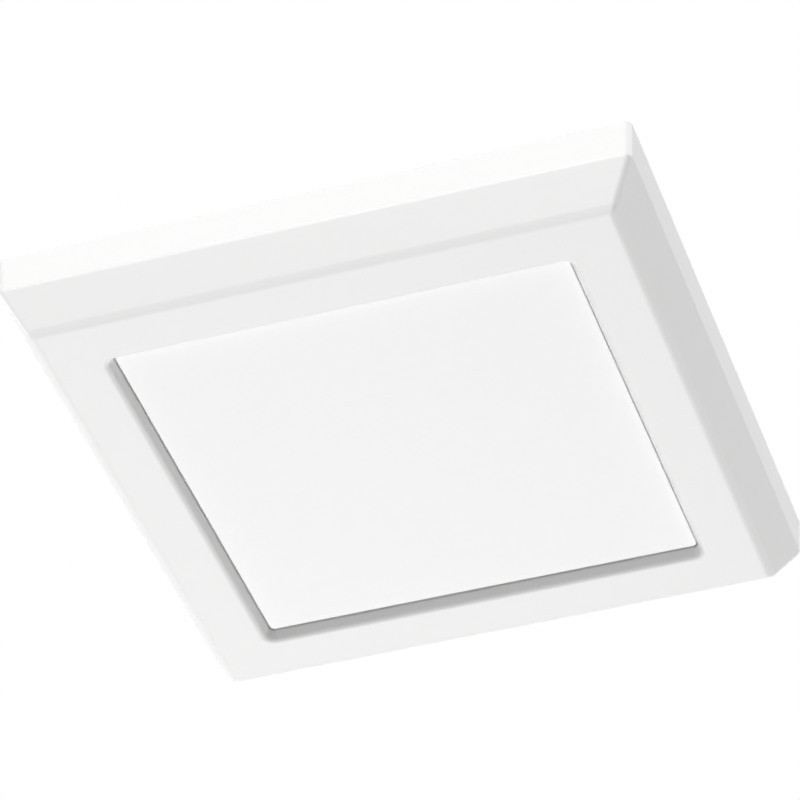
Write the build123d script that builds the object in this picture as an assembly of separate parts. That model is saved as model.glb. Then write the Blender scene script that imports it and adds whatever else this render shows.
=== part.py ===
from build123d import *
import os
from math import radians, tan

# A square surface LED ceiling light. Millimetres, +Z up, origin at the centre of the ceiling plane,
# so the whole light hangs below z = 0. The -Y side holds the driver, the terminals and the cable entry.

# Cover frame, outside
light_width = 300.0  # side of the square at the ceiling
light_height = 39.5  # ceiling to flat face
slope_height = 20.6  # sloping band of each side
side_draft = 0.8  # lean of the upright band, over its height
slope_inset = 11.7  # lean of the sloping band, over its height
side_edge_radius = 4.0
face_edge_radius = 6.0
corner_radius = 3.0
shell_wall = 2.5
ceiling_gap = 0.3  # between the ceiling and the frame's upper edge

# Window in the flat face
frame_band = 42.0  # edge of the light to the visible diffuser
window_corner_radius = 2.4
window_setback = 5.2  # flat face to diffuser face
window_gap = 0.8  # shadow gap round the diffuser
lip_radius = 4.8
rim_wall = 2.5
rim_rise = 4.5  # rim above the inside of the flat face

# Diffuser and its clamps
diffuser_wall = 2.0
diffuser_edge_radius = 0.5
flange_overhang = 0.5
clamp_sheet = 1.5
clamp_width = 12.0
clamp_grip = 3.5  # how far a clamp reaches over the flange
post_radius = 3.5
post_gap = 1.0  # between the flange and a screw post

# Paired fixings along each side: slots, diffuser clamps and reflector screws
fixing_share = 0.4  # spacing of a pair, as a share of the light's width

# Guide ribs inside the frame's sides
guide_rib_width = 2.0
guide_clearance = 0.4  # between a rib and the pan
guide_inset = 40.0  # edge of the light to a rib, along the side
guide_start = 2.0  # ceiling to the top of a rib

# Base pan
pan_sheet = 1.0
pan_depth = 15.0
pan_gap = 4.2  # between the pan and the frame's wall
pan_corner_radius = 4.0
pan_corner_relief = 6.0  # open corner between two sides of the pan
slot_width = 5.0
slot_length = 10.0

# Cable entry
well_margin = 1.3  # between the well and the sides of its channel
well_depth = 2.2
grommet_room = 3.0  # between the grommet and the well's wall
grommet_grip = 2.5  # how far the grommet's flanges reach past the hole
grommet_bore_radius = 4.5
grommet_upper = 1.4
grommet_lower = 2.0
cable_room = 14.0  # between the cable entry and the terminal block

# Latch springs and the ridges that they hold
latch_sheet = 0.6
latch_width = 16.0
latch_start = 3.0  # ceiling to the top of the spring
latch_root = 6.0
latch_reach = 5.0
latch_tail = 4.0
latch_bend_radius = 1.5
latch_clearance = 0.6  # between the spring's crest and the frame's wall
snap_overlap = 1.1  # how far the ridge reaches behind the crest
snap_clearance = 0.34
ridge_flat = 0.8
ridge_length = 30.0
rivet_radius = 1.5
rivet_head_radius = 2.6
rivet_head = 0.9

# LED board and reflector
board_inset = 8.0  # inside the edge of the visible diffuser
board_sheet = 1.6
board_gap = 1.0  # between the board and the reflector
chip_count = 8  # along each side
chip_width = 3.0
chip_height = 0.7
reflector_wall = 1.2
reflector_flange = 5.5
reflector_corner_radius = 3.0
reflector_inset = 1.9  # inside the diffuser's wall, at the lower edge
reflector_end_gap = 0.6  # above the diffuser's flange
connector_length = 9.0
connector_width = 8.0
connector_height = 4.5

# Driver
driver_side_gap = 2.8  # each side of the driver
driver_clearance = 3.6  # above the clamps' screws
driver_wall = 1.6
driver_plate = 2.0
driver_ear = 8.0
driver_ear_width = 12.0
driver_board_sheet = 1.6
driver_board_margin = 1.0
driver_standoff = 3.0
driver_standoff_radius = 2.0
driver_standoff_inset = 20.0
driver_corner_radius = 1.5
transformer_length = 20.0
transformer_margin = 2.9  # inside the board's edges
transformer_clearance = 2.3  # under the driver's cover
transformer_window = 10.0
transformer_window_depth = 3.6
transformer_yoke = 3.0
capacitor_clearance = 4.8  # under the driver's cover
capacitor_length = 14.0
component_space = 6.0  # between the transformer and a capacitor

# Terminal block and release buttons
pole_pitch = 7.5
terminal_end = 1.5
terminal_length = 26.0
terminal_height = 16.0
terminal_ear = 7.0
terminal_ear_width = 8.0
terminal_ear_sheet = 2.5
wire_room = 43.0  # between the terminal block and the driver
button_length = 6.0
button_width = 4.6
button_height = 6.5
button_proud = 1.5
button_clearance = 0.08
button_edge_radius = 0.6
clamp_space = 5.3  # for the clamp spring above a button
clamp_spring_sheet = 0.4
clamp_spring_width = 4.0

# Wires and earth tag
wire_radius = 0.9
wire_clearance = 0.15
wire_hole_spacing = 8.0
wire_tail = 6.0  # wire laid on the driver's board
wire_straight = 8.0  # wire outside a terminal or tag before it bends
bend_share = 0.45  # share of a straight run that a bend takes up
lead_spacing = 3.0  # between the two leads to the LED board
tag_radius = 3.8
tag_sheet = 0.8
tag_barrel_radius = 1.5
tag_barrel_length = 6.0
tag_clearance = 1.5  # between the tag and the reflector's foot
tag_gap = 1.0  # between the tag and the driver
lead_gap = 6.0  # between the reflector's foot and the nearer lead
lead_corner = 7.0
lead_straight = 6.0  # lead outside the driver before it bends
lead_stop = 1.0
clip_width = 11.0
clip_length = 6.0
clip_cover = 2.0

# Screws
screw_radius = 1.45
screw_head_radius = 2.8
screw_head = 1.8
small_screw_radius = 1.2
small_screw_head_radius = 2.2
small_screw_head = 1.4
small_screw_length = 6.5
earth_screw_radius = 1.9
earth_screw_head_radius = 3.5
earth_screw_head = 2.4
thread_clearance = 0.05
passing_clearance = 0.25
screw_end_gap = 0.2  # between a screw's end and the ceiling
cross_width = 0.7
cross_depth = 0.8
cross_reach = 0.65  # share of the head's radius
tolerance = 0.001

# Levels
face_z = -light_height
side_height = light_height - slope_height
inner_face_z = face_z + shell_wall
rim_top = inner_face_z + rim_rise
panel_z = face_z + window_setback
flange_top = rim_top + diffuser_wall
pan_floor = -pan_sheet
board_face = pan_floor - board_sheet
chip_face = board_face - chip_height
driver_seat = pan_floor - driver_plate
driver_bottom = flange_top + clamp_sheet + small_screw_head + driver_clearance
driver_board_top = driver_seat - driver_standoff
driver_board_face = driver_board_top - driver_board_sheet
component_room = driver_board_face - driver_bottom - driver_wall
wire_z = driver_board_face - wire_radius - thread_clearance
terminal_bottom = pan_floor - terminal_height

# Half widths and lines, measured from the middle of the light
window_width = light_width - 2 * frame_band
fixing_spacing = fixing_share * light_width
guide_spacing = light_width - 2 * guide_inset
opening_width = window_width + 2 * window_gap
opening_radius = window_corner_radius + window_gap
flange_width = opening_width + 2 * rim_wall + 2 * flange_overhang
post_line = flange_width / 2 + post_gap + post_radius
pan_half = light_width / 2 - shell_wall - pan_gap
pan_inner = pan_half - pan_sheet
board_width = window_width - 2 * board_inset
board_half = board_width / 2
reflector_top_half = board_half + board_gap
reflector_low_half = window_width / 2 - diffuser_wall - reflector_inset
reflector_outer = reflector_top_half + reflector_wall + reflector_flange
channel_line = (reflector_outer + pan_inner) / 2
channel_width = pan_inner - reflector_outer
gear_y = -channel_line
grommet_x = -channel_line
well_radius = channel_width / 2 - pan_sheet - well_margin
grommet_radius = well_radius - grommet_room
entry_hole_radius = grommet_radius - grommet_grip
terminal_width = 3 * pole_pitch + terminal_end
terminal_left = grommet_x + well_radius + cable_room
terminal_right = terminal_left + terminal_length
terminal_x = (terminal_left + terminal_right) / 2
driver_left = terminal_right + wire_room + driver_ear
first_lead = reflector_outer + lead_gap
driver_right = first_lead - lead_corner - lead_straight
driver_length = driver_right - driver_left
driver_x = (driver_left + driver_right) / 2
driver_width = channel_width - 2 * driver_side_gap
chip_pitch = board_width / chip_count
connector_x = board_half - connector_length / 2
connector_y = -(chip_count / 2 - 1) * chip_pitch
connector_wire_z = board_face - connector_height / 2
pole_y = {"live": gear_y - pole_pitch, "neutral": gear_y, "earth": gear_y + pole_pitch}
driver_hole_y = {"live": gear_y - wire_hole_spacing / 2, "neutral": gear_y + wire_hole_spacing / 2}
lead_hole_y = {"positive": gear_y + wire_hole_spacing, "negative": gear_y + wire_hole_spacing - lead_spacing}
tag_x = driver_left - driver_ear - tag_radius - tag_gap
tag_y = -(reflector_outer + tag_clearance + tag_radius)


def side_half(z):
    """Half width of the frame's upright side at height z."""
    return light_width / 2 + side_draft * z / side_height


def block(x_size, y_size, z_low, z_high, x=0, y=0):
    """Box with its middle at x, y, from z_low to z_high."""
    return Pos(x, y, (z_low + z_high) / 2) * Box(x_size, y_size, z_high - z_low)


def rod(radius, z_low, z_high, x=0, y=0):
    """Upright cylinder from z_low to z_high."""
    return Pos(x, y, (z_low + z_high) / 2) * Cylinder(radius, z_high - z_low)


def along_x(radius, x_low, x_high, y, z):
    """Cylinder lying along X."""
    return Pos((x_low + x_high) / 2, y, z) * Rot(0, 90, 0) * Cylinder(radius, x_high - x_low)


def plate(width, radius, z_low, z_high):
    """Square plate with rounded corners, centred on the light."""
    return extrude(Pos(0, 0, z_low) * RectangleRounded(width, width, radius), z_high - z_low)


def on_four_sides(shape):
    """The shape, modelled on the +X side, repeated on all four sides."""
    return [shape.rotate(Axis.Z, turn) for turn in (0, 90, 180, 270)]


def pairs_on_sides(shape, spacing):
    """Two copies of the shape on each side, spaced along it."""
    pair = [Pos(0, place, 0) * shape for place in (-spacing / 2, spacing / 2)]
    return [turned for one in pair for turned in on_four_sides(one)]


def group(shapes):
    """Several separate solids as one node."""
    return Compound([solid for shape in shapes for solid in shape.solids()])


def screw(x, y, seat_z, end_z, radius, head_radius, head):
    """Cross-head screw driven upwards: the head hangs under seat_z and the shank ends at end_z."""
    body = rod(head_radius, seat_z - head, seat_z, x, y) + rod(radius, seat_z, end_z, x, y)
    recess_top = seat_z - head + cross_depth
    for turn in (0, 90):
        bar = Rot(0, 0, turn) * Box(2 * cross_reach * head_radius, cross_width, 2 * cross_depth)
        body -= Pos(x, y, recess_top - cross_depth) * bar
    return body


def pan_screw(x, y, seat_z):
    """Screw through a piece on the pan, ending just short of the ceiling."""
    return screw(x, y, seat_z, -screw_end_gap, screw_radius, screw_head_radius, screw_head)


def wire(points):
    """Round wire along straight runs joined by arcs as large as the runs allow."""
    runs = [b - a for a, b in zip(points, points[1:])]
    radii = []
    for first, second in zip(runs, runs[1:]):
        half_turn = radians(first.get_angle(second) / 2)
        radii.append(bend_share * min(first.length, second.length) / tan(half_turn))
    path = FilletPolyline(*points, radius=radii)
    return sweep(Plane(path @ 0, z_dir=path % 0) * Circle(wire_radius), path)


# Cover frame


def side_section(top):
    """Section through the frame's outside, from the flat face up to the height top."""
    low_half = side_half(-side_height)
    face_half = low_half - slope_inset
    corners = [(side_half(top), top), (low_half, -side_height), (face_half, face_z)]
    mirrored = [(-x, z) for x, z in reversed(corners)]
    outline = make_face(Polyline(*corners, *mirrored, close=True))
    for level, radius in ((face_z, face_edge_radius), (-side_height, side_edge_radius)):
        edge = [corner for corner in outline.vertices() if abs(corner.Y - level) < tolerance]
        outline = fillet(edge, radius)
    return outline


def squared(section):
    """The section run along both X and Y, so that the corners are mitred."""
    bar = extrude(Plane.XZ * section, light_width, both=True)
    return bar & bar.rotate(Axis.Z, 90)


def on_diagonal(edge):
    """True for an edge that lies on a corner's mitre."""
    return all(abs(abs(p.X) - abs(p.Y)) < tolerance for p in (edge @ 0.1, edge @ 0.5))


latch_top = -latch_start
latch_bend = latch_top - latch_root
latch_crest = latch_bend - latch_reach
latch_end = latch_crest - latch_tail
rivet_z = latch_top - latch_root / 2
crest_out = side_half(latch_crest) - shell_wall - latch_clearance - pan_half
ridge_out = crest_out - snap_overlap


def snap_ridge():
    """Ridge inside the frame's side, just above the crest of a latch spring."""
    flank = (ridge_out - snap_clearance - latch_sheet) / (crest_out - latch_sheet)
    low = latch_bend - flank * latch_reach
    apex = pan_half + ridge_out
    wall = side_half(low) - shell_wall / 2
    rise = wall - apex
    outline = [(wall, low - rise), (apex, low), (apex, low + ridge_flat), (wall, low + ridge_flat + rise)]
    return extrude(Plane.XZ * make_face(Polyline(*outline, close=True)), ridge_length / 2, both=True)


def guide_rib():
    """Upright rib inside the frame's side that centres the frame on the pan."""
    inner = pan_half + guide_clearance
    outer = side_half(-pan_depth) - shell_wall / 2
    return block(outer - inner, guide_rib_width, -pan_depth, -guide_start, (inner + outer) / 2)


def cover_frame():
    """Moulded frame: tapered sides, flat face, window with a rounded lip, posts, ribs and snap ridges."""
    outside = squared(side_section(-ceiling_gap))
    outside = fillet(outside.edges().filter_by(on_diagonal), corner_radius)
    body = outside - squared(offset(side_section(light_height), -shell_wall))
    body += plate(opening_width + 2 * rim_wall, opening_radius + rim_wall, inner_face_z, rim_top)
    body -= plate(opening_width, opening_radius, face_z - shell_wall, rim_top + shell_wall)
    inside_window = opening_width / 2 + tolerance
    lip = [
        edge
        for edge in body.edges().filter_by_position(Axis.Z, face_z - tolerance, face_z + tolerance)
        if max(abs((edge @ 0.5).X), abs((edge @ 0.5).Y)) < inside_window
    ]
    body = fillet(lip, lip_radius)
    pilot = rod(small_screw_radius + thread_clearance, flange_top - small_screw_length, flange_top, post_line)
    post = rod(post_radius, inner_face_z - shell_wall / 2, flange_top, post_line) - pilot
    for piece in pairs_on_sides(post, fixing_spacing) + pairs_on_sides(guide_rib(), guide_spacing):
        body += piece
    for piece in on_four_sides(snap_ridge()):
        body += piece
    return body


# Diffuser and clamps


def diffuser():
    """Opal tray: a flat panel in the window, upstanding sides and a flange that rests on the rim."""
    body = plate(window_width, window_corner_radius, panel_z, flange_top)
    flange_radius = opening_radius + rim_wall + flange_overhang
    body += plate(flange_width, flange_radius, rim_top, flange_top)
    inner_radius = max(window_corner_radius - diffuser_wall, diffuser_edge_radius)
    body -= plate(window_width - 2 * diffuser_wall, inner_radius, panel_z + diffuser_wall, flange_top)
    rim = body.edges().filter_by_position(Axis.Z, panel_z - tolerance, panel_z + tolerance)
    return fillet(rim, diffuser_edge_radius)


def diffuser_clamp():
    """Small plate that holds the diffuser's flange down, screwed to a post."""
    inner = flange_width / 2 - clamp_grip
    outer = post_line + post_radius
    body = block(outer - inner, clamp_width, flange_top, flange_top + clamp_sheet, (inner + outer) / 2)
    return body - rod(small_screw_radius + passing_clearance, flange_top, flange_top + clamp_sheet, post_line)


def clamp_screw():
    """Screw through a clamp, driven down into its post."""
    seat = flange_top + clamp_sheet
    end = seat - small_screw_length
    upside_down = screw(0, 0, -seat, -end, small_screw_radius, small_screw_head_radius, small_screw_head)
    return Pos(post_line, 0, 0) * Rot(180, 0, 0) * upside_down


# Base pan and cable entry

screw_rows = [place * (chip_count / 2 - 1) * chip_pitch for place in (-1, 0, 1)]
board_screw_places = [(x, y) for x in screw_rows for y in screw_rows]
driver_screw_places = [(driver_left - driver_ear / 2, gear_y), (driver_right + driver_ear / 2, gear_y)]
terminal_screw_reach = (terminal_length + terminal_ear) / 2
terminal_screw_places = [(terminal_x + side * terminal_screw_reach, gear_y) for side in (-1, 1)]
reflector_screw_line = reflector_outer - reflector_flange / 2


def base_pan():
    """Sheet floor of the pan against the ceiling, with slots, a well for the cable entry and screw holes."""
    body = plate(2 * pan_half, pan_corner_radius, pan_floor, 0)
    body += rod(well_radius + pan_sheet, -well_depth - pan_sheet, pan_floor, grommet_x, gear_y)
    body -= rod(well_radius, -well_depth, 0, grommet_x, gear_y)
    body -= rod(entry_hole_radius, -well_depth - pan_sheet, 0, grommet_x, gear_y)
    slot = SlotOverall(slot_length, slot_width)
    for x in (-channel_line, channel_line):
        for y in (-fixing_spacing / 2, fixing_spacing / 2):
            body -= extrude(Pos(x, y, pan_floor) * slot, pan_sheet)
    for x, y in board_screw_places + driver_screw_places + terminal_screw_places:
        body -= rod(screw_radius + thread_clearance, pan_floor, 0, x, y)
    small_hole = rod(small_screw_radius + thread_clearance, pan_floor, 0, reflector_screw_line)
    for hole in pairs_on_sides(small_hole, fixing_spacing):
        body -= hole
    return body - rod(earth_screw_radius + thread_clearance, pan_floor, 0, tag_x, tag_y)


def pan_side():
    """Side of the pan: a strip standing on the edge of the floor, with a rivet hole and open corners."""
    length = 2 * (pan_half - pan_corner_relief)
    body = block(pan_sheet, length, -pan_depth, pan_floor, (pan_inner + pan_half) / 2)
    return body - along_x(rivet_radius + thread_clearance, pan_inner, pan_half, 0, rivet_z)


def cable_grommet():
    """Rubber grommet: two flanges that grip the edge of the entry hole, and a bore for the cable."""
    upper = -well_depth
    lower = upper - pan_sheet
    body = rod(grommet_radius, upper, upper + grommet_upper, grommet_x, gear_y)
    body += rod(entry_hole_radius - thread_clearance, lower, upper, grommet_x, gear_y)
    body += rod(grommet_radius, lower - grommet_lower, lower, grommet_x, gear_y)
    return body - rod(grommet_bore_radius, lower - grommet_lower, upper + grommet_upper, grommet_x, gear_y)


# Latch springs


def latch_spring():
    """Bent leaf of spring steel on the pan's side, with a crest that the frame's ridge snaps behind."""
    half = latch_sheet / 2
    line = FilletPolyline(
        (pan_half + half, latch_top),
        (pan_half + half, latch_bend),
        (pan_half + crest_out - half, latch_crest),
        (pan_half + 2 * latch_sheet, latch_end),
        radius=latch_bend_radius,
    )
    leaf = extrude(Plane.XZ * trace(line, latch_sheet), latch_width / 2, both=True)
    hole_end = pan_half + latch_sheet
    return leaf - along_x(rivet_radius + thread_clearance, pan_half, hole_end, 0, rivet_z)


def latch_rivet():
    """Rivet through a latch spring and the pan's side."""
    outer = pan_half + latch_sheet
    body = along_x(rivet_radius, pan_inner, outer, 0, rivet_z)
    body += along_x(rivet_head_radius, outer, outer + rivet_head, 0, rivet_z)
    return body + along_x(rivet_head_radius, pan_inner - rivet_head, pan_inner, 0, rivet_z)


# LED board and reflector


def led_board():
    """Aluminium circuit board on the pan."""
    body = plate(board_width, reflector_corner_radius, board_face, pan_floor)
    for x, y in board_screw_places:
        body -= rod(screw_radius + passing_clearance, board_face, pan_floor, x, y)
    return body


def led_chips():
    """Square grid of LED packages."""
    places = [(number - (chip_count - 1) / 2) * chip_pitch for number in range(chip_count)]
    return group([block(chip_width, chip_width, chip_face, board_face, x, y) for x in places for y in places])


def led_connector():
    """Two-way socket on the board's edge."""
    body = block(
        connector_length, connector_width, board_face - connector_height, board_face, connector_x, connector_y
    )
    for y in (connector_y - lead_spacing / 2, connector_y + lead_spacing / 2):
        body -= along_x(wire_radius + wire_clearance, connector_x, board_half, y, connector_wire_z)
    return body


def reflector_frame():
    """White sloping wall round the LED board, with a foot screwed to the pan and a notch for the leads."""
    low_z = flange_top + reflector_end_gap

    def funnel(extra):
        top = RectangleRounded(
            2 * (reflector_top_half + extra), 2 * (reflector_top_half + extra), reflector_corner_radius
        )
        low = RectangleRounded(
            2 * (reflector_low_half + extra), 2 * (reflector_low_half + extra), reflector_corner_radius
        )
        return loft([Pos(0, 0, pan_floor) * top, Pos(0, 0, low_z) * low])

    foot = plate(2 * reflector_outer, reflector_corner_radius, pan_floor - reflector_wall, pan_floor)
    body = funnel(reflector_wall) + foot - funnel(0)
    notch_low = connector_wire_z - connector_height / 2
    notch_x = (reflector_top_half + reflector_outer) / 2
    notch_length = 2 * (reflector_outer - reflector_top_half)
    body -= block(notch_length, connector_width + lead_spacing, notch_low, pan_floor, notch_x, connector_y)
    hole = rod(
        small_screw_radius + passing_clearance, pan_floor - reflector_wall, pan_floor, reflector_screw_line
    )
    for piece in pairs_on_sides(hole, fixing_spacing):
        body -= piece
    return body


def reflector_screw():
    """Screw through the reflector's foot into the pan."""
    seat = pan_floor - reflector_wall
    end = -screw_end_gap
    return screw(
        reflector_screw_line, 0, seat, end, small_screw_radius, small_screw_head_radius, small_screw_head
    )


# Driver


def driver_base():
    """Plate under the driver's cover, with an ear at each end and stand-offs for the circuit board."""
    body = block(driver_length, driver_width, driver_seat, pan_floor, driver_x, gear_y)
    ears_length = driver_length + 2 * driver_ear
    body += block(ears_length, driver_ear_width, driver_seat, pan_floor, driver_x, gear_y)
    for x, y in driver_screw_places:
        body -= rod(screw_radius + passing_clearance, driver_seat, pan_floor, x, y)
    for side in (-1, 1):
        x = driver_x + side * (driver_length / 2 - driver_standoff_inset)
        body += rod(driver_standoff_radius, driver_board_top, driver_seat, x, gear_y)
    return body


def driver_cover():
    """Moulded box over the driver's board, with wire holes in its ends."""
    outside = block(driver_length, driver_width, driver_bottom, driver_seat, driver_x, gear_y)
    rounded = outside.edges().filter_by(Axis.Z) + outside.faces().sort_by(Axis.Z)[0].edges()
    outside = fillet(rounded, driver_corner_radius)
    inside_length = driver_length - 2 * driver_wall
    inside_width = driver_width - 2 * driver_wall
    body = outside - block(
        inside_length, inside_width, driver_bottom + driver_wall, driver_seat, driver_x, gear_y
    )
    hole = wire_radius + wire_clearance
    for y in driver_hole_y.values():
        body -= along_x(hole, driver_left, driver_left + driver_wall, y, wire_z)
    for y in lead_hole_y.values():
        body -= along_x(hole, driver_right - driver_wall, driver_right, y, wire_z)
    return body


driver_board_length = driver_length - 2 * (driver_wall + driver_board_margin)
driver_board_width = driver_width - 2 * (driver_wall + driver_board_margin)


def driver_board():
    """Driver circuit board on its stand-offs."""
    return block(
        driver_board_length, driver_board_width, driver_board_face, driver_board_top, driver_x, gear_y
    )


def driver_transformer():
    """Transformer on the board: a block with a winding window in each side."""
    low = driver_board_face - component_room + transformer_clearance
    width = driver_board_width - 2 * transformer_margin
    body = block(transformer_length, width, low, driver_board_face, driver_x, gear_y)
    for side in (-1, 1):
        y = gear_y + side * width / 2
        window_low = low + transformer_yoke
        window_top = driver_board_face - transformer_yoke
        body -= block(transformer_window, 2 * transformer_window_depth, window_low, window_top, driver_x, y)
    return body


def driver_capacitors():
    """Two capacitors lying on the board, one each side of the transformer."""
    radius = (component_room - capacitor_clearance) / 2
    reach = (transformer_length + capacitor_length) / 2 + component_space
    half = capacitor_length / 2
    z = driver_board_face - radius
    middles = (driver_x - reach, driver_x + reach)
    return group([along_x(radius, x - half, x + half, gear_y, z) for x in middles])


# Terminal block, clamp springs and release buttons

button_top = terminal_bottom - button_proud + button_height
well_top = button_top + clamp_space


def terminal_block():
    """Three-pole push-in terminal: a wire passage and a button well for each pole, and two screw ears."""
    body = block(terminal_length, terminal_width, terminal_bottom, pan_floor, terminal_x, gear_y)
    ears_length = terminal_length + 2 * terminal_ear
    ear_face = pan_floor - terminal_ear_sheet
    body += block(ears_length, terminal_ear_width, ear_face, pan_floor, terminal_x, gear_y)
    for x, y in terminal_screw_places:
        body -= rod(screw_radius + passing_clearance, ear_face, pan_floor, x, y)
    for y in pole_y.values():
        body -= along_x(wire_radius + wire_clearance, terminal_left, terminal_right, y, wire_z)
        well_length = button_length + 2 * button_clearance
        well_width = button_width + 2 * button_clearance
        body -= block(well_length, well_width, terminal_bottom, well_top, terminal_x, y)
    return body


def clamp_spring(y):
    """Bent leaf above a release button: its back lies on the roof of the well, its leg on the button."""
    half = clamp_spring_sheet / 2
    reach = button_length / 2 - clamp_spring_sheet
    line = FilletPolyline(
        (terminal_x - reach, well_top - half),
        (terminal_x + reach / 2, well_top - half),
        (terminal_x - reach / 2, button_top + 2 * half),
        radius=clamp_spring_sheet,
    )
    leaf = extrude(Plane.XZ * trace(line, clamp_spring_sheet), clamp_spring_width / 2, both=True)
    return Pos(0, y, 0) * leaf


def release_button(y):
    """Push button in its well, with rounded edges and a groove for a screwdriver."""
    low = terminal_bottom - button_proud
    body = block(button_length, button_width, low, button_top, terminal_x, y)
    body = fillet(body.faces().sort_by(Axis.Z)[0].edges(), button_edge_radius)
    groove = block(button_length / 2, cross_width, low, low + cross_depth, terminal_x, y)
    return body - groove


# Wires, earth tag and clip

wire_inside = terminal_x + button_length / 2 + wire_clearance + button_clearance


def supply_wire(name):
    """Wire from the terminal block to the driver's board."""
    start_y = pole_y[name]
    end_y = driver_hole_y[name]
    board_end = driver_left + driver_wall + driver_board_margin + wire_tail
    points = [
        Vector(wire_inside, start_y, wire_z),
        Vector(terminal_right + wire_straight, start_y, wire_z),
        Vector(driver_left - driver_ear, end_y, wire_z),
        Vector(board_end, end_y, wire_z),
    ]
    return wire(points)


barrel_z = pan_floor - tag_barrel_radius
barrel_end = tag_x - tag_radius - tag_barrel_length


def earth_tag():
    """Ring tag under the earth screw, with a crimp barrel for the wire."""
    body = rod(tag_radius, pan_floor - tag_sheet, pan_floor, tag_x, tag_y)
    neck_x = tag_x - tag_barrel_radius
    body += block(2 * tag_radius, 2 * tag_barrel_radius, pan_floor - tag_sheet, pan_floor, neck_x, tag_y)
    body -= rod(earth_screw_radius + passing_clearance, pan_floor - tag_sheet, pan_floor, tag_x, tag_y)
    body += along_x(tag_barrel_radius, barrel_end, tag_x - tag_radius, tag_y, barrel_z)
    return body - along_x(wire_radius + thread_clearance, barrel_end, tag_x - tag_radius, tag_y, barrel_z)


def earth_wire():
    """Wire from the earth pole to the ring tag."""
    points = [
        Vector(wire_inside, pole_y["earth"], wire_z),
        Vector(terminal_right + wire_straight, pole_y["earth"], wire_z),
        Vector(barrel_end - wire_straight, tag_y, barrel_z),
        Vector(tag_x - tag_radius - tag_barrel_radius, tag_y, barrel_z),
    ]
    return wire(points)


lead_line = {"positive": first_lead, "negative": first_lead + lead_spacing}
lead_end_y = {"positive": connector_y - lead_spacing / 2, "negative": connector_y + lead_spacing / 2}


def led_lead(name):
    """Lead from the driver's board round the corner of the reflector to the LED board's socket."""
    y = lead_hole_y[name]
    x = lead_line[name]
    end_y = lead_end_y[name]
    board_end = driver_right - driver_wall - driver_board_margin - wire_tail
    points = [
        Vector(board_end, y, wire_z),
        Vector(x - lead_corner, y, wire_z),
        Vector(x, y + lead_corner, wire_z),
        Vector(x, end_y - lead_corner, wire_z),
        Vector(x - lead_corner, end_y, connector_wire_z),
        Vector(connector_x + lead_stop, end_y, connector_wire_z),
    ]
    return wire(points)


def wire_clip():
    """Moulded clip on the pan that holds the two LED leads."""
    middle = (lead_line["positive"] + lead_line["negative"]) / 2
    low = wire_z - wire_radius - clip_cover
    y = (gear_y + wire_hole_spacing + connector_y) / 2
    body = block(clip_width, clip_length, low, pan_floor, middle, y)
    for x in lead_line.values():
        seat = wire_radius + wire_clearance
        body -= block(2 * seat, clip_length, low, wire_z, x, y)
        body -= Pos(x, y, wire_z) * Rot(90, 0, 0) * Cylinder(seat, clip_length)
    return body


nodes = {
    "cover_frame": cover_frame(),
    "diffuser": diffuser(),
    "diffuser_clamps": group(pairs_on_sides(diffuser_clamp(), fixing_spacing)),
    "clamp_screws": group(pairs_on_sides(clamp_screw(), fixing_spacing)),
    "base_pan": base_pan(),
    "pan_sides": group(on_four_sides(pan_side())),
    "cable_grommet": cable_grommet(),
    "latch_springs": group(on_four_sides(latch_spring())),
    "latch_rivets": group(on_four_sides(latch_rivet())),
    "led_board": led_board(),
    "led_chips": led_chips(),
    "led_connector": led_connector(),
    "board_screws": group([pan_screw(x, y, board_face) for x, y in board_screw_places]),
    "reflector_frame": reflector_frame(),
    "reflector_screws": group(pairs_on_sides(reflector_screw(), fixing_spacing)),
    "driver_base": driver_base(),
    "driver_cover": driver_cover(),
    "driver_board": driver_board(),
    "driver_transformer": driver_transformer(),
    "driver_capacitors": driver_capacitors(),
    "driver_screws": group([pan_screw(x, y, driver_seat) for x, y in driver_screw_places]),
    "terminal_block": terminal_block(),
    "terminal_screws": group(
        [pan_screw(x, y, pan_floor - terminal_ear_sheet) for x, y in terminal_screw_places]
    ),
    "live_wire": supply_wire("live"),
    "neutral_wire": supply_wire("neutral"),
    "earth_wire": earth_wire(),
    "earth_tag": earth_tag(),
    "earth_screw": screw(
        tag_x, tag_y, pan_floor - tag_sheet, -screw_end_gap,
        earth_screw_radius, earth_screw_head_radius, earth_screw_head,
    ),
    "led_lead_positive": led_lead("positive"),
    "led_lead_negative": led_lead("negative"),
    "wire_clip": wire_clip(),
}
for pole, y in pole_y.items():
    nodes[f"clamp_spring_{pole}"] = clamp_spring(y)
    nodes[f"release_button_{pole}"] = release_button(y)

os.makedirs("parts", exist_ok=True)
for name, shape in nodes.items():
    export_step(shape, f"parts/{name}.step")
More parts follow.
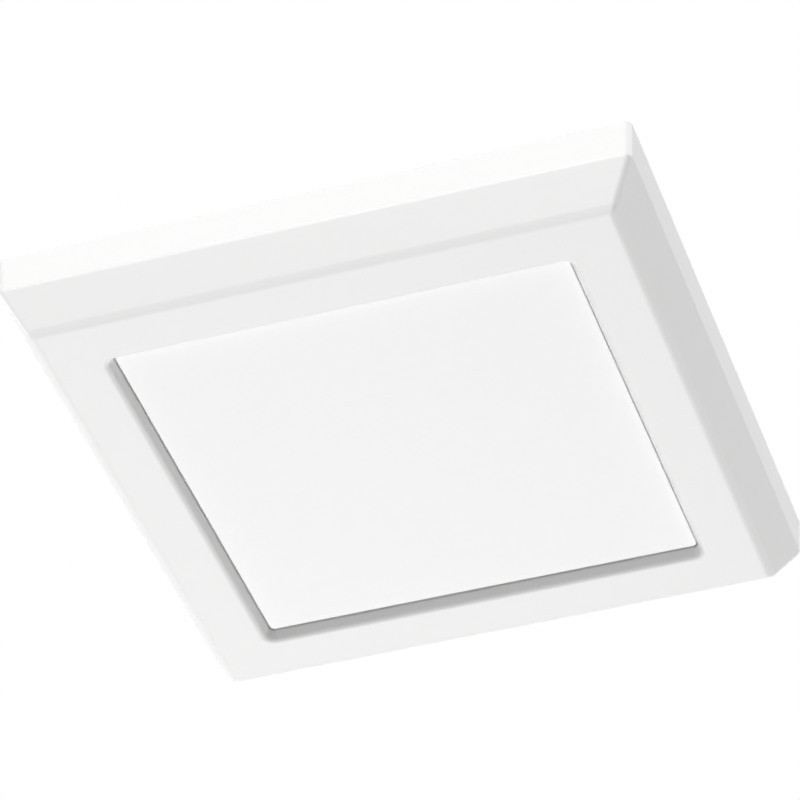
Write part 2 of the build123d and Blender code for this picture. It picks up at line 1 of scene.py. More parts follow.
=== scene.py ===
import bmesh
import bpy
import numpy as np
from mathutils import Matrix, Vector


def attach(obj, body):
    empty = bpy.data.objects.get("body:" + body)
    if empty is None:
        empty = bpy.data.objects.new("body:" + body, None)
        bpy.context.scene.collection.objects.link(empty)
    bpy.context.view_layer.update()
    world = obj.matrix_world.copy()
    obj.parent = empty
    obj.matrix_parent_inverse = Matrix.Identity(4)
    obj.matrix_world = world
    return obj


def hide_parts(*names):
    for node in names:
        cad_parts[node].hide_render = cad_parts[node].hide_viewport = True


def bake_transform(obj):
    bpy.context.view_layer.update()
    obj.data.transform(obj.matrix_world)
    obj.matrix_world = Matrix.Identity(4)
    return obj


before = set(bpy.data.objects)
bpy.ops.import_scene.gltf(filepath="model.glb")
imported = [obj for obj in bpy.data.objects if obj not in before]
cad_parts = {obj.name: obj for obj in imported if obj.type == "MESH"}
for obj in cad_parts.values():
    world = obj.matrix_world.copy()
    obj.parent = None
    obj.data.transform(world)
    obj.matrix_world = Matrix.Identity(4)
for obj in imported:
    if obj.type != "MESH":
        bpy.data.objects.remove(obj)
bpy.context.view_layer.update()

# Base pan
# A square of 1 mm sheet steel that is screwed to the ceiling, with four side strips standing on its edge.
# It is pressed, punched and white powder-coated, which leaves a faint orange-peel surface.

MM = 0.001
tint_stops = (0.3, 0.7)
noise_detail = 3.0


def finish(name, tints, grain, rough, bump, metal=0.0, specular=0.5, stretch=(1, 1, 1)):
    """New material. Noise of the given grain in mm, on Object coordinates that are scaled by the stretch,
    blends the two tints and the two roughnesses, and raises a bump of the given height in mm."""
    material = bpy.data.materials.new(name)
    material.use_nodes = True
    nodes = material.node_tree.nodes
    links = material.node_tree.links
    shader = nodes["Principled BSDF"]
    shader.inputs["Metallic"].default_value = metal
    shader.inputs["Specular IOR Level"].default_value = specular
    place = nodes.new("ShaderNodeTexCoord")
    turn = nodes.new("ShaderNodeMapping")
    turn.inputs["Scale"].default_value = stretch
    links.new(place.outputs["Object"], turn.inputs["Vector"])
    noise = nodes.new("ShaderNodeTexNoise")
    noise.inputs["Scale"].default_value = 1 / (grain * MM)
    noise.inputs["Detail"].default_value = noise_detail
    links.new(turn.outputs["Vector"], noise.inputs["Vector"])
    ramp = nodes.new("ShaderNodeValToRGB")
    for stop, tint, at in zip(ramp.color_ramp.elements, tints, tint_stops):
        stop.color = (*tint, 1)
        stop.position = at
    links.new(noise.outputs["Fac"], ramp.inputs["Fac"])
    links.new(ramp.outputs["Color"], shader.inputs["Base Color"])
    gloss = nodes.new("ShaderNodeMapRange")
    gloss.inputs["To Min"].default_value, gloss.inputs["To Max"].default_value = rough
    links.new(noise.outputs["Fac"], gloss.inputs["Value"])
    links.new(gloss.outputs["Result"], shader.inputs["Roughness"])
    relief = nodes.new("ShaderNodeBump")
    relief.inputs["Strength"].default_value = 1.0
    relief.inputs["Distance"].default_value = bump * MM
    links.new(noise.outputs["Fac"], relief.inputs["Height"])
    links.new(relief.outputs["Normal"], shader.inputs["Normal"])
    return material


def paint(material, *names):
    """Puts the material on CAD nodes, in their own material slots."""
    for name in names:
        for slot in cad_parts[name].material_slots:
            slot.material = material


powder_coat = finish("powder_coat", tints=((0.77, 0.77, 0.755), (0.81, 0.81, 0.80)), grain=1.4,
                     rough=(0.38, 0.52), bump=0.02)
paint(powder_coat, "base_pan", "pan_sides")

# Cable grommet
# A soft black rubber bush with two flanges and a 9 mm bore, pushed into the hole of the pan's well.
# It is moulded matt, with a bloom of lighter dust.

entry_rubber = finish("entry_rubber", tints=((0.022, 0.022, 0.023), (0.045, 0.045, 0.044)), grain=0.6,
                      rough=(0.62, 0.85), bump=0.03)
grommet_place = (-125.0, -125.0)
grommet_steps = 64
grommet_line = ((4.5, -4.9), (4.8, -5.2), (11.4, -5.2), (12.0, -4.7), (12.0, -3.6), (11.6, -3.2),
                (9.45, -3.2), (9.45, -2.2), (11.6, -2.2), (12.0, -1.9), (12.0, -1.1), (11.7, -0.8),
                (4.8, -0.8), (4.5, -1.1))


def turned(line, steps):
    """Surface of revolution about Z: each (radius, height) of the line swept round a full circle."""
    radius, height = np.asarray(line, float).T[:, :, None]
    angle = np.linspace(0, 2 * np.pi, steps, endpoint=False)
    return np.stack([radius * np.cos(angle), radius * np.sin(angle), height + 0 * angle], -1)


def grid_faces(rows, columns, loops):
    """Quads between neighbouring points of a grid. Columns close into rings, rows only if the grid loops."""
    index = np.arange(rows * columns).reshape(rows, columns)
    if loops:
        index = np.vstack([index, index[:1]])
    index = np.hstack([index, index[:, :1]])
    return np.stack([index[:-1, :-1], index[:-1, 1:], index[1:, 1:], index[1:, :-1]], -1).reshape(-1, 4)


def build(name, grids, finishes, body, stands_for, sharp=35.0, bends=None):
    """One piece from grids of points in mm. Each grid comes with whether its rows loop and with its finish
    numbers, one for each row of faces or one for all. A grid that doesn't loop is capped at its first and
    last ring, so every grid is a closed surface and its faces can be turned outward. Edges above the sharp
    angle, in degrees, stay hard. The piece hides the CAD node that it stands for, and its faces take the
    finishes given. It rides on the body unless it bends; one that bends only has its place baked into its
    points, and the second body and the two points that come with the bend are not used."""
    points, faces, numbers, first = [], [], [], 0
    for grid, loops, kinds in grids:
        rows, columns = grid.shape[:2]
        quads = grid_faces(rows, columns, loops) + first
        faces += quads.tolist()
        numbers += np.repeat(np.broadcast_to(kinds, len(quads) // columns), columns).tolist()
        if not loops:
            ring = np.arange(columns)
            faces += [(ring[::-1] + first).tolist(), (ring + first + (rows - 1) * columns).tolist()]
            numbers += [np.ravel(kinds)[0], np.ravel(kinds)[-1]]
        points.append(grid.reshape(-1, 3))
        first += rows * columns
    mesh = bpy.data.meshes.new(name)
    mesh.from_pydata(np.concatenate(points) * MM, [], faces)
    for material in finishes:
        mesh.materials.append(material)
    mesh.polygons.foreach_set("material_index", np.array(numbers, np.int32))
    surface = bmesh.new()
    surface.from_mesh(mesh)
    bmesh.ops.recalc_face_normals(surface, faces=surface.faces)
    surface.to_mesh(mesh)
    surface.free()
    mesh.shade_smooth()
    mesh.set_sharp_from_angle(angle=np.radians(sharp))
    mesh.update()
    piece = bpy.data.objects.new(name, mesh)
    bpy.context.scene.collection.objects.link(piece)
    if bends:
        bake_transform(piece)
    else:
        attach(piece, body)
    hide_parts(stands_for)


grommet_surface = turned(grommet_line, grommet_steps) + (*grommet_place, 0)
build("rubber_grommet", [(grommet_surface, True, 0)], [entry_rubber], "base", "cable_grommet")

# Latch springs and rivets
# Four bent leaves of spring steel on the pan's sides, each held by one rivet, grip the cover's ridges.
# The strip keeps fine rolling lines across its width; the rivets are zinc-plated.

spring_steel = finish("spring_steel", tints=((0.42, 0.43, 0.45), (0.58, 0.58, 0.58)), grain=2.0,
                      rough=(0.22, 0.40), bump=0.004, metal=1.0, stretch=(1, 1, 14))
paint(spring_steel, "latch_springs")
bright_zinc = finish("bright_zinc", tints=((0.56, 0.57, 0.58), (0.70, 0.69, 0.65)), grain=0.9,
                     rough=(0.24, 0.42), bump=0.006, metal=1.0)
paint(bright_zinc, "latch_rivets")

# LED board
# A 200 mm square aluminium board, coated with white solder mask. Gaps between the copper areas show through
# the mask as fine lines: one under each row of packages and one between the strings.

board_mask = finish("board_mask", tints=((0.80, 0.80, 0.78), (0.84, 0.84, 0.825)), grain=0.8,
                    rough=(0.30, 0.42), bump=0.004)
led_pitch = 25.0
copper_gap = 0.5
copper_depth = 0.035
gap_shade = (0.66, 0.66, 0.62)
gap_edge = (0.3, 0.6)


def gap_lines(material):
    """Darkens and lowers thin lines of a square grid on Object coordinates. A line follows the distance to
    the nearest multiple of the LED pitch, shifted by half a pitch along X: it is full up to the first share
    of the gap's width in gap_edge and gone from the second."""
    nodes = material.node_tree.nodes
    links = material.node_tree.links
    shader = nodes["Principled BSDF"]
    apart = nodes.new("ShaderNodeSeparateXYZ")
    links.new(nodes["Texture Coordinate"].outputs["Object"], apart.inputs["Vector"])
    near = nodes.new("ShaderNodeMath")
    near.operation = "MINIMUM"
    for number, (axis, shift) in enumerate((("X", led_pitch / 2), ("Y", 0.0))):
        moved = nodes.new("ShaderNodeMath")
        moved.inputs[1].default_value = shift * MM
        links.new(apart.outputs[axis], moved.inputs[0])
        fold = nodes.new("ShaderNodeMath")
        fold.operation = "PINGPONG"
        fold.inputs[1].default_value = led_pitch * MM / 2
        links.new(moved.outputs[0], fold.inputs[0])
        links.new(fold.outputs[0], near.inputs[number])
    line = nodes.new("ShaderNodeMapRange")
    line.inputs["From Min"].default_value = gap_edge[0] * copper_gap * MM
    line.inputs["From Max"].default_value = gap_edge[1] * copper_gap * MM
    links.new(near.outputs[0], line.inputs["Value"])
    mix = nodes.new("ShaderNodeMix")
    mix.data_type = "RGBA"
    mix.inputs["A"].default_value = (*gap_shade, 1)
    links.new(line.outputs["Result"], mix.inputs["Factor"])
    links.new(nodes["Color Ramp"].outputs["Color"], mix.inputs["B"])
    links.new(mix.outputs["Result"], shader.inputs["Base Color"])
    step = nodes.new("ShaderNodeBump")
    step.inputs["Distance"].default_value = copper_depth * MM
    links.new(line.outputs["Result"], step.inputs["Height"])
    links.new(nodes["Bump"].outputs["Normal"], step.inputs["Normal"])
    links.new(step.outputs["Normal"], shader.inputs["Normal"])


gap_lines(board_mask)
paint(board_mask, "led_board")

# LED packages
# Sixty-four 3 mm packages in eight rows of eight: a white moulded cup with bevelled edges, and in it a round
# pool of silicone that the phosphor colours yellow.

package_white = finish("package_white", tints=((0.80, 0.80, 0.77), (0.86, 0.86, 0.84)), grain=0.5,
                       rough=(0.35, 0.5), bump=0.004)
phosphor = finish("phosphor", tints=((0.82, 0.62, 0.13), (0.88, 0.72, 0.22)), grain=0.25,
                  rough=(0.25, 0.45), bump=0.01)
led_count = 8
board_face = -2.6
package_sides = 12
package_rings = ((1.50, 0.00, 1), (1.50, 0.58, 1), (1.38, 0.70, 1),
                 (1.16, 0.70, 0), (1.08, 0.63, 0), (0.30, 0.64, 0))
package_kinds = (0, 0, 0, 1, 1)


def package_grid():
    """One LED package, hanging under the board. Each ring has a half width, a depth and 1 where it is square
    or 0 where it is round. A square ring is a circle stretched until its largest coordinate is the half
    width."""
    half, depth, square = np.array(package_rings).T[:, :, None]
    angle = np.linspace(0, 2 * np.pi, package_sides, endpoint=False) + np.pi / package_sides
    circle = np.stack([np.cos(angle), np.sin(angle)], -1)[None]
    stretched = circle / np.abs(circle).max(-1, keepdims=True)
    flat = half[..., None] * np.where(square[..., None] > 0, stretched, circle)
    level = np.broadcast_to(board_face - depth, flat.shape[:2])
    return np.concatenate([flat, level[..., None]], -1)


led_line = (np.arange(led_count) - (led_count - 1) / 2) * led_pitch
led_places = np.stack(np.meshgrid(led_line, led_line), -1).reshape(-1, 2)
one_package = package_grid()
packages = [(one_package + (x, y, 0), False, package_kinds) for x, y in led_places]
build("led_packages", packages, [package_white, phosphor], "base", "led_chips", sharp=25.0)

# LED socket and lead clip
# Small nylon mouldings, cream from the uncoloured resin: the two-way socket soldered to the board, and the
# clip on the pan that holds the two leads.

bare_nylon = finish("bare_nylon", tints=((0.74, 0.71, 0.60), (0.80, 0.78, 0.68)), grain=1.2,
                    rough=(0.35, 0.5), bump=0.008)
paint(bare_nylon, "led_connector", "wire_clip")

# Reflector
# A vacuum-formed white sheet that stands round the LED board like a square funnel and is screwed to the pan
# by its foot. Its matt face scatters the light.

reflector_sheet = finish("reflector_sheet", tints=((0.85, 0.85, 0.84), (0.88, 0.88, 0.87)), grain=2.2,
                         rough=(0.55, 0.7), bump=0.012)
paint(reflector_sheet, "reflector_frame")

# Driver
# A moulded box with a base plate, screwed to the pan by an ear at each end. Inside are a green circuit
# board, a taped transformer and two sleeved capacitors.

driver_plastic = finish("driver_plastic", tints=((0.74, 0.74, 0.72), (0.79, 0.79, 0.775)), grain=0.45,
                        rough=(0.5, 0.68), bump=0.012)
paint(driver_plastic, "driver_cover", "driver_base")
circuit_green = finish("circuit_green", tints=((0.018, 0.11, 0.045), (0.03, 0.16, 0.07)), grain=3.0,
                       rough=(0.25, 0.4), bump=0.01)
paint(circuit_green, "driver_board")
winding_tape = finish("winding_tape", tints=((0.62, 0.44, 0.04), (0.74, 0.56, 0.08)), grain=1.5,
                      rough=(0.3, 0.45), bump=0.02, stretch=(1, 1, 8))
paint(winding_tape, "driver_transformer")
capacitor_sleeve = finish("capacitor_sleeve", tints=((0.010, 0.012, 0.02), (0.02, 0.023, 0.035)), grain=4.0,
                          rough=(0.2, 0.3), bump=0.01, stretch=(3, 1, 1))
paint(capacitor_sleeve, "driver_capacitors")

# Terminal block
# A light grey polyamide block with three push-in poles. An orange button under each pole presses a bent leaf
# of spring steel up and lets the wire go, so each leaf bends between the block and its button.

terminal_grey = finish("terminal_grey", tints=((0.56, 0.56, 0.54), (0.62, 0.62, 0.60)), grain=0.6,
                       rough=(0.42, 0.58), bump=0.01)
paint(terminal_grey, "terminal_block")
button_orange = finish("button_orange", tints=((0.70, 0.19, 0.02), (0.78, 0.24, 0.035)), grain=0.5,
                       rough=(0.35, 0.5), bump=0.008)
pole_places = {"live": -132.5, "neutral": -125.0, "earth": -117.5}
paint(button_orange, *(f"release_button_{pole}" for pole in pole_places))
leaf_back, leaf_corner, leaf_tip = np.array([(-85.6, -6.9), (-81.7, -6.9), (-84.3, -11.6)])
leaf_sheet = 0.4
leaf_width = 4.0
leaf_bend = 0.4
back_steps = 4
bend_steps = 9
blade_steps = 13


def rounding(before, here, after, radius, steps):
    """Arc that rounds the corner here: it turns evenly from the run to before to the run to after, about a
    centre on the bisector."""
    back = (before - here) / np.linalg.norm(before - here)
    ahead = (after - here) / np.linalg.norm(after - here)
    opening = np.arccos(np.clip(back @ ahead, -1, 1))
    centre = here + (back + ahead) / np.linalg.norm(back + ahead) * radius / np.sin(opening / 2)
    start, end = (here + radius / np.tan(opening / 2) * run - centre for run in (back, ahead))
    share = np.linspace(0, 1, steps)[:, None]
    turn = np.pi - opening
    return centre + (np.sin((1 - share) * turn) * start + np.sin(share * turn) * end) / np.sin(turn)


def bar(outline, start, end):
    """Straight bar: the closed (x, z) outline carried along Y from start to end."""
    x, z = np.asarray(outline, float).T
    y = np.array([start, end])[:, None] + 0 * x
    return np.stack([x + 0 * y, y, z + 0 * y], -1)


leaf_arc = rounding(leaf_back, leaf_corner, leaf_tip, leaf_bend, bend_steps)
leaf_root = np.linspace(leaf_back, leaf_arc[0], back_steps)
leaf_blade = np.linspace(leaf_arc[-1], leaf_tip, blade_steps)
leaf_line = np.vstack([leaf_root[:-1], leaf_arc, leaf_blade[1:]])
leaf_run = np.gradient(leaf_line, axis=0)
leaf_run = leaf_run / np.linalg.norm(leaf_run, axis=1)[:, None]
leaf_side = np.stack([-leaf_run[:, 1], leaf_run[:, 0]], -1) * leaf_sheet / 2
leaf_outline = np.vstack([leaf_line + leaf_side, (leaf_line - leaf_side)[::-1]])
for pole, y in pole_places.items():
    leaf = bar(leaf_outline, y - leaf_width / 2, y + leaf_width / 2)
    reach = [(x * MM, y * MM, z * MM) for x, z in (leaf_arc[-1], leaf_tip)]
    build(f"{pole}_clamp_leaf", [(leaf, False, 0)], [spring_steel], "base", f"clamp_spring_{pole}",
          bends=(f"{pole}_button", *reach))

# Wires
# Single insulated wires of 1.8 mm: brown, blue and green-yellow from the terminals, red and black to the
# LED board. The PVC is extruded, so it is smooth, with a slow change of gloss along its length.

wire_colours = {
    "live_wire": (0.17, 0.062, 0.022),
    "neutral_wire": (0.018, 0.085, 0.40),
    "earth_wire": (0.05, 0.30, 0.035),
    "led_lead_positive": (0.52, 0.02, 0.018),
    "led_lead_negative": (0.016, 0.016, 0.017),
}
wire_shades = (0.92, 1.06)
yellow_stripe = (0.72, 0.55, 0.03)
stripe_edge = (0.04, 0.08)


def insulation(name, tint):
    """PVC of one colour, from its darker to its lighter shade in streaks that are long along X."""
    tints = [tuple(shade * value for value in tint) for shade in wire_shades]
    return finish(name, tints, grain=3.0, rough=(0.28, 0.45), bump=0.006, stretch=(0.4, 2, 2))


def earth_stripes(material):
    """Yellow stripes along the wire: they show where the product of the Y and Z of the surface's own normal
    passes the stripe's edge, which is on two opposite quarters of the wire."""
    nodes = material.node_tree.nodes
    links = material.node_tree.links
    facing = nodes.new("ShaderNodeSeparateXYZ")
    links.new(nodes["Texture Coordinate"].outputs["Normal"], facing.inputs["Vector"])
    side_on = nodes.new("ShaderNodeMath")
    side_on.operation = "MULTIPLY"
    links.new(facing.outputs["Y"], side_on.inputs[0])
    links.new(facing.outputs["Z"], side_on.inputs[1])
    stripe = nodes.new("ShaderNodeMapRange")
    stripe.inputs["From Min"].default_value, stripe.inputs["From Max"].default_value = stripe_edge
    links.new(side_on.outputs[0], stripe.inputs["Value"])
    striped = nodes.new("ShaderNodeMix")
    striped.data_type = "RGBA"
    striped.inputs["B"].default_value = (*yellow_stripe, 1)
    links.new(stripe.outputs["Result"], striped.inputs["Factor"])
    links.new(nodes["Color Ramp"].outputs["Color"], striped.inputs["A"])
    links.new(striped.outputs["Result"], nodes["Principled BSDF"].inputs["Base Color"])


for name, tint in wire_colours.items():
    insulated = insulation(f"{name}_insulation", tint)
    if name == "earth_wire":
        earth_stripes(insulated)
    paint(insulated, name)

# Earth tag
# A ring tag, stamped from thin sheet and tinned bright. It is crimped on the earth wire and held on the pan
# by a brass screw.

tinned = finish("tinned", tints=((0.66, 0.66, 0.65), (0.76, 0.76, 0.74)), grain=1.1,
                rough=(0.2, 0.38), bump=0.006, metal=1.0)
paint(tinned, "earth_tag")

# Screws
# Zinc-plated pan-head screws with a cross recess: nine in the LED board, eight in the reflector's foot, and
# two each for the driver and the terminal block. Earth has a larger one of brass.

head_line = np.array([(0.02, 1.0), (0.10, 1.0), (0.18, 0.995), (0.26, 0.99), (0.34, 0.98), (0.42, 0.97),
                      (0.50, 0.95), (0.58, 0.93), (0.66, 0.90), (0.74, 0.86), (0.83, 0.79), (0.91, 0.68),
                      (0.97, 0.50), (1.0, 0.26)])
screw_steps = 40
cross_half = 0.15
cross_reach = 0.62
cross_slope = 0.10
cross_depth = 0.55


def screw_grid(head_radius, head, radius, length):
    """Screw with its seat at z = 0. Under it is a domed head, with rings at the shares of its radius and
    height in head_line, sunk where |x| is under half the groove's width and |y| is within its reach, or the
    other way round. Above it is a straight shank with a tapered end."""
    share, height = head_line.T[:, :, None]
    angle = np.linspace(0, 2 * np.pi, screw_steps, endpoint=False)
    across, along = np.abs(share * np.cos(angle)), np.abs(share * np.sin(angle))

    def groove(narrow, wide):
        """1 in the groove, falling to 0 over the slope at its sides and ends."""
        inside = np.clip((cross_half + cross_slope - narrow) / cross_slope, 0, 1)
        return inside * np.clip((cross_reach + cross_slope - wide) / cross_slope, 0, 1)

    sunk = np.maximum(groove(across, along), groove(along, across))
    dome = np.stack([share * head_radius * np.cos(angle), share * head_radius * np.sin(angle),
                     -head * (height - cross_depth * sunk)], -1)
    taper = min(radius, length / 3)
    shank_line = ((head_radius, 0), (radius, 0), (radius, length - taper / 2), (radius - taper / 2, length))
    return np.concatenate([dome, turned(shank_line, screw_steps)])


def screws(name, places, seat, screw, length, material, body, upward=True):
    """A set of equal screws as one piece: heads hanging under the seat, or standing on it if not upward. A
    screw is its head's radius and height and its shank's radius."""
    grid = screw_grid(*screw, length)
    if not upward:
        grid = grid * (1, -1, -1)
    copies = [(grid + (x, y, seat), False, 0) for x, y in places]
    build(f"{name}_heads", copies, [material], body, name, sharp=50.0)


def on_sides(reach, spacing):
    """Two places on each side of a square: (reach, plus or minus half the spacing), by quarter turns."""
    turn = np.arange(4)[:, None] * np.pi / 2
    along = np.array([-spacing / 2, spacing / 2])
    x = np.cos(turn) * reach - np.sin(turn) * along
    y = np.sin(turn) * reach + np.cos(turn) * along
    return np.stack([x, y], -1).reshape(-1, 2)


pan_screw = (2.8, 1.8, 1.45)
small_screw = (2.2, 1.4, 1.2)
earth_size = (3.5, 2.4, 1.9)
tip = -0.2
board_pitch = 75.0
board_line = np.array([-board_pitch, 0.0, board_pitch])
board_places = np.stack(np.meshgrid(board_line, board_line), -1).reshape(-1, 2)
screws("board_screws", board_places, board_face, pan_screw, tip - board_face, bright_zinc, "base")
pair_spacing = 120.0
foot_line = 104.95
foot_face = -2.2
screws("reflector_screws", on_sides(foot_line, pair_spacing), foot_face, small_screw, tip - foot_face,
       bright_zinc, "base")
driver_ears = ((-23.0, -125.0), (104.7, -125.0))
ear_face = -3.0
screws("driver_screws", driver_ears, ear_face, pan_screw, tip - ear_face, bright_zinc, "base")
block_ears = ((-99.5, -125.0), (-66.5, -125.0))
block_ear_face = -3.5
screws("terminal_screws", block_ears, block_ear_face, pan_screw, tip - block_ear_face, bright_zinc, "base")
earth_brass = finish("earth_brass", tints=((0.60, 0.41, 0.13), (0.72, 0.53, 0.20)), grain=0.8,
                     rough=(0.22, 0.4), bump=0.006, metal=1.0)
earth_places = ((-31.8, -113.0),)
tag_face = -1.8
screws("earth_screw", earth_places, tag_face, earth_size, tip - tag_face, earth_brass, "base")

# Cover frame
# One injection moulding in white plastic: upright sides, a sloping band, a flat face and a window with a
# steep, rounded lip. The face has a very fine even grain. Inside are the rim, posts, guide ribs and ridges.

frame_plastic = finish("frame_plastic", tints=((0.835, 0.835, 0.83), (0.845, 0.845, 0.84)), grain=0.35,
                       rough=(0.44, 0.52), bump=0.0015, specular=0.4)
wall = 2.5
top_edge = np.array([149.987, -0.3])
waist = np.array([149.2, -18.9])
brow = np.array([137.5, -39.5])
opening_half = 108.8
rim_half = 111.3
rim_top = -32.5
panel_face = -34.3
lip_slope = np.radians(61.0)
lip_step = 0.65
lip_radius = 3.6
waist_radius = 4.0
brow_radius = 6.0
inner_brow_radius = 3.5
inner_waist_radius = 1.5
rim_easing = 0.3
top_easing = 0.2
mould_corner = 3.0
inner_corner = 0.6
least_corner = 0.1
opening_corner = 3.2
arc_steps = 14
lead = 0.08
corner_steps = 9
corner_slip = 0.3


def inward(a, b):
    """The line from a to b moved into the moulding by its wall: a point on it and its direction."""
    run = (b - a) / np.linalg.norm(b - a)
    return a + wall * np.array([run[1], -run[0]]), run


def meet(first, second):
    """Where two lines, each a point and a direction, cross."""
    share = np.linalg.solve(np.column_stack([first[1], -second[1]]), second[0] - first[0])
    return first[0] + share[0] * first[1]


def eased(rounded_corners):
    """Closed line through the corners, each rounded by its radius. A point just before and just after each
    arc keeps the runs between them flat."""
    corners = np.array([corner for corner, _ in rounded_corners], float)
    radii = [radius for _, radius in rounded_corners]
    line = []
    for before, here, after, radius in zip(np.roll(corners, 1, 0), corners, np.roll(corners, -1, 0), radii):
        arc = rounding(before, here, after, radius, arc_steps)
        back = (before - here) / np.linalg.norm(before - here)
        ahead = (after - here) / np.linalg.norm(after - here)
        line.append(np.vstack([arc[0] + lead * back, arc, arc[-1] + lead * ahead]))
    return np.concatenate(line)


def square_rings(half, corner, level):
    """Rounded squares as rings: for each profile point, quarter circles of its corner radius about centres
    at half - corner along both axes. A point just off each end of an arc keeps the straight sides flat."""
    half, corner, level = (np.asarray(value, float)[:, None, None] for value in (half, corner, level))
    quarter = np.arange(4)[:, None]
    turn = (quarter + np.pad(np.linspace(0, 1, corner_steps), 1, mode="edge")) * np.pi / 2
    aside = corner_slip * np.pad(np.zeros(corner_steps), 1, constant_values=(-1, 1))
    sign_x = np.sign(np.cos((quarter + 0.5) * np.pi / 2))
    sign_y = np.sign(np.sin((quarter + 0.5) * np.pi / 2))
    x = sign_x * (half - corner) + corner * np.cos(turn) - aside * np.sin(turn)
    y = sign_y * (half - corner) + corner * np.sin(turn) + aside * np.cos(turn)
    z = np.broadcast_to(level, x.shape)
    return np.stack([x, y, z], -1).reshape(len(half), -1, 3)


def quarter_turns(points):
    """Four copies of the points, turned about Z by quarter turns."""
    turn = (np.arange(4) * np.pi / 2)[:, None, None]
    x, y, z = np.moveaxis(points, -1, 0)
    spun_x = np.cos(turn) * x - np.sin(turn) * y
    spun_y = np.sin(turn) * x + np.cos(turn) * y
    return np.stack([spun_x, spun_y, z + 0 * turn], -1)


inner_wall = inward(top_edge, waist)
inner_slope = inward(waist, brow)
inner_face = inward(brow, np.array([opening_half, brow[1]]))
top_line = (top_edge, np.array([1.0, 0.0]))
lip_end = panel_face - lip_step
lip_foot = opening_half + (lip_end - brow[1]) / np.tan(lip_slope)
lip_start = lip_foot + lip_radius * np.tan(lip_slope / 2)
outer_corners = [(top_edge, top_easing), (waist, waist_radius), (brow, brow_radius),
                 ((lip_foot, brow[1]), lip_radius)]
rim_corners = [((opening_half, lip_end), rim_easing), ((opening_half, rim_top), rim_easing),
               ((rim_half, rim_top), rim_easing), ((rim_half, inner_face[0][1]), rim_easing)]
inner_corners = [(meet(inner_face, inner_slope), inner_brow_radius),
                 (meet(inner_slope, inner_wall), inner_waist_radius),
                 (meet(inner_wall, top_line), top_easing)]
section = eased(outer_corners + rim_corners + inner_corners)
corner_rows = arc_steps + 2
row = np.arange(len(section))
# Outside, a corner shrinks as the section lies flatter: full on the sides and top edge, sharp on the face.
section_run = np.roll(section, -1, 0) - np.roll(section, 1, 0)
upright = np.abs(section_run[:, 1]) / np.linalg.norm(section_run, axis=1)
upright[row < corner_rows] = 1
outer_corner = np.maximum(mould_corner * upright, least_corner)
on_outside = row < len(outer_corners) * corner_rows
# Round the window, each ring keeps its distance from the opening, corners included.
window_corner = opening_corner + section[:, 0] - opening_half
near_window = section[:, 0] < lip_start + 2 * lead
section_corner = np.select([near_window, on_outside], [window_corner, outer_corner], inner_corner)
shell = square_rings(section[:, 0], section_corner, section[:, 1])

post_line = 116.3
post_steps = 32
flange_top = -30.5
post_profile = ((3.5, -37.1), (3.5, -30.9), (3.1, flange_top),
                (1.5, flange_top), (1.25, -30.8), (1.25, -36.8))
post = turned(post_profile, post_steps)
posts = [(post + (x, y, 0), False, 0) for x, y in on_sides(post_line, pair_spacing)]
rib_place = 110.0
rib_half = 1.0
rib_outline = ((143.7, -2.3), (144.0, -2.0), (147.6, -2.0), (147.2, -15.0), (144.0, -15.0), (143.7, -14.7))
ridge_half = 15.0
ridge_outline = ((148.2, -7.22), (145.21, -10.21), (145.21, -11.01), (148.2, -14.0))
side_bars = [bar(rib_outline, place - rib_half, place + rib_half) for place in (-rib_place, rib_place)]
side_bars.append(bar(ridge_outline, -ridge_half, ridge_half))
ribs = [(copy, False, 0) for side_bar in side_bars for copy in quarter_turns(side_bar)]
build("moulded_frame", [(shell, True, 0)] + posts + ribs, [frame_plastic], "cover", "cover_frame")

# Diffuser
# An opal acrylic tray, 2 mm thick, that drops into the window from behind and stands 0.8 mm clear of its
# edge. It is milky right through and satin on the face, so light from the board leaves it evenly.

opal_acrylic = finish("opal_acrylic", tints=((0.893, 0.893, 0.89), (0.90, 0.90, 0.897)), grain=6.0,
                      rough=(0.46, 0.52), bump=0.002, specular=0.35)
panel_half = 108.0
panel_back = -32.3
panel_corner = 2.4
tray_least_corner = 0.4
flange_half = 111.8
tray_inside = 106.0
middle = 2.0
panel_easing = 0.5
flange_easing = 0.3
tray_easing = 0.2
tray_corners = [((middle, panel_face), tray_easing), ((panel_half, panel_face), panel_easing),
                ((panel_half, rim_top), tray_easing), ((flange_half, rim_top), flange_easing),
                ((flange_half, flange_top), flange_easing), ((tray_inside, flange_top), tray_easing),
                ((tray_inside, panel_back), flange_easing), ((middle, panel_back), tray_easing)]
# The arcs at the two middle corners are left out, because caps close the tray there.
tray_line = eased(tray_corners)[corner_rows - 1:1 - corner_rows]
tray_corner = np.clip(panel_corner + tray_line[:, 0] - panel_half, tray_least_corner, None)
tray = square_rings(tray_line[:, 0], tray_corner, tray_line[:, 1])
build("opal_panel", [(tray, False, 0)], [opal_acrylic], "cover", "diffuser")

# Diffuser clamps
# Eight small zinc-plated plates on the posts behind the frame hold the diffuser's flange. Each is stamped
# from sheet and has one screw, driven down into its post.

paint(bright_zinc, "diffuser_clamps")
clamp_face = -29.0
clamp_screw_length = 6.5
screws("clamp_screws", on_sides(post_line, pair_spacing), clamp_face, small_screw, clamp_screw_length,
       bright_zinc, "cover", upward=False)

# Studio
# A pale floor far below the ceiling light and a white surround. One soft lamp stands low down behind the
# light and shines on its face, three stand round it a little above its level, and one hangs over it.
# The camera looks up at it from below.

floor_level = -5.0
floor_half = 8.0
floor_glow = 0.5
floor_paper = finish("floor_paper", tints=((0.86, 0.86, 0.86), (0.90, 0.90, 0.90)), grain=400.0,
                     rough=(0.8, 0.9), bump=0.0)


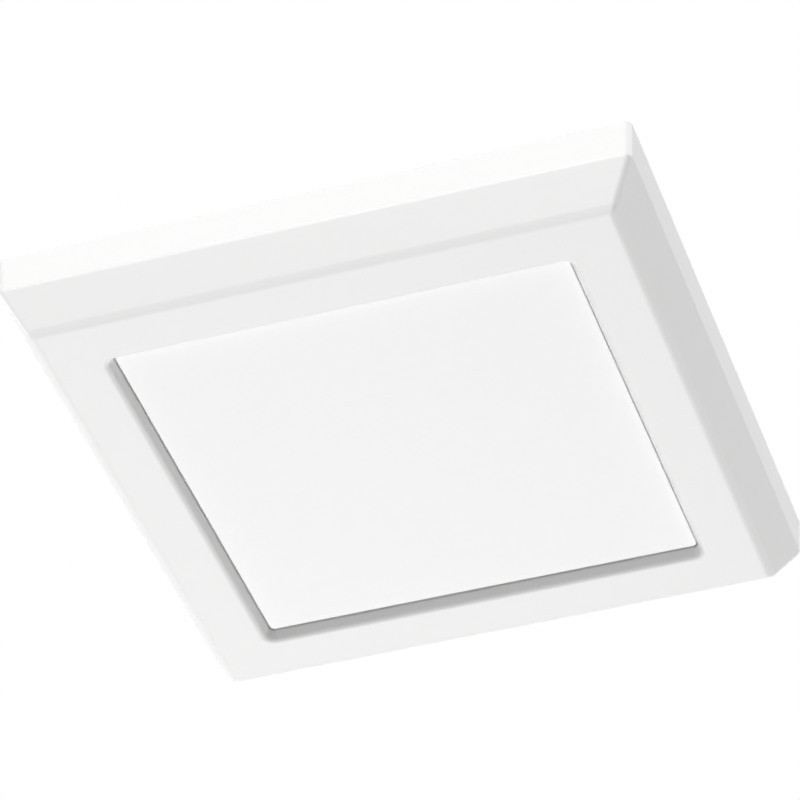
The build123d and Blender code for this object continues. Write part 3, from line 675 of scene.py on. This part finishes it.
def glow_for_camera(material, strength):
    """Makes the material look brighter to the camera alone: an emission of the strength times Is Camera Ray
    is added to its shader."""
    nodes = material.node_tree.nodes
    links = material.node_tree.links
    rays = nodes.new("ShaderNodeLightPath")
    brighter = nodes.new("ShaderNodeMath")
    brighter.operation = "MULTIPLY"
    brighter.inputs[1].default_value = strength
    links.new(rays.outputs["Is Camera Ray"], brighter.inputs[0])
    glow = nodes.new("ShaderNodeEmission")
    links.new(brighter.outputs[0], glow.inputs["Strength"])
    both = nodes.new("ShaderNodeAddShader")
    links.new(nodes["Principled BSDF"].outputs["BSDF"], both.inputs[0])
    links.new(glow.outputs["Emission"], both.inputs[1])
    links.new(both.outputs["Shader"], nodes["Material Output"].inputs["Surface"])


glow_for_camera(floor_paper, floor_glow)
floor_mesh = bpy.data.meshes.new("studio_floor")
floor_corners = np.array([(-1, -1, 0), (1, -1, 0), (1, 1, 0), (-1, 1, 0)]) * floor_half + (0, 0, floor_level)
floor_mesh.from_pydata(floor_corners, [], [(0, 1, 2, 3)])
floor_mesh.materials.append(floor_paper)
studio_floor = bpy.data.objects.new("studio_floor", floor_mesh)
bpy.context.scene.collection.objects.link(studio_floor)

surround_light = 0.15
surround_seen = 1.0
world = bpy.data.worlds.new("studio_surround")
bpy.context.scene.world = world
world.use_nodes = True
air = world.node_tree.nodes
air_links = world.node_tree.links
lighting = air["Background"]
lighting.inputs["Color"].default_value = (1, 1, 1, 1)
lighting.inputs["Strength"].default_value = surround_light
white = air.new("ShaderNodeBackground")
white.inputs["Color"].default_value = (1, 1, 1, 1)
white.inputs["Strength"].default_value = surround_seen
rays = air.new("ShaderNodeLightPath")
mirrored = air.new("ShaderNodeMath")
mirrored.operation = "MAXIMUM"
air_links.new(rays.outputs["Is Glossy Ray"], mirrored.inputs[0])
air_links.new(rays.outputs["Is Transmission Ray"], mirrored.inputs[1])
seen = air.new("ShaderNodeMath")
seen.operation = "MAXIMUM"
air_links.new(rays.outputs["Is Camera Ray"], seen.inputs[0])
air_links.new(mirrored.outputs[0], seen.inputs[1])
choice = air.new("ShaderNodeMixShader")
air_links.new(seen.outputs[0], choice.inputs["Fac"])
air_links.new(lighting.outputs["Background"], choice.inputs[1])
air_links.new(white.outputs["Background"], choice.inputs[2])
air_links.new(choice.outputs["Shader"], air["World Output"].inputs["Surface"])

lamp_size = 1.8
lamps = {
    "low_lamp": ((-1.131, 2.433, -3.613), 142.0),
    "front_lamp": ((-0.261, -4.447, 0.641), 178.0),
    "left_lamp": ((-4.22, 1.497, 0.454), 68.0),
    "right_lamp": ((3.991, 1.266, 1.65), 121.0),
    "top_lamp": ((0.4, -0.6, 4.4), 90.0),
}


def lamp(name, place, power):
    """Square soft lamp that faces the ceiling light and doesn't show itself."""
    data = bpy.data.lights.new(name, "AREA")
    data.size = lamp_size
    data.energy = power
    lamp_object = bpy.data.objects.new(name, data)
    lamp_object.location = place
    lamp_object.rotation_mode = "QUATERNION"
    lamp_object.rotation_quaternion = (-Vector(place)).to_track_quat("-Z", "Y")
    lamp_object.visible_camera = False
    bpy.context.scene.collection.objects.link(lamp_object)


for name, (place, power) in lamps.items():
    lamp(name, place, power)

camera_place = (0.51812, -1.57305, -1.40105)
camera_look = (-0.2353, 0.7258, 0.64642)
camera_data = bpy.data.cameras.new("photo_camera")
camera_data.sensor_width = 36.0
camera_data.lens = 207.029
camera_data.shift_x = -0.03662
camera_data.shift_y = -0.00804
photo_camera = bpy.data.objects.new("photo_camera", camera_data)
photo_camera.location = camera_place
photo_camera.rotation_mode = "QUATERNION"
photo_camera.rotation_quaternion = Vector(camera_look).to_track_quat("-Z", "Y")
bpy.context.scene.collection.objects.link(photo_camera)
bpy.context.scene.camera = photo_camera
bpy.context.scene.view_settings.view_transform = "Standard"
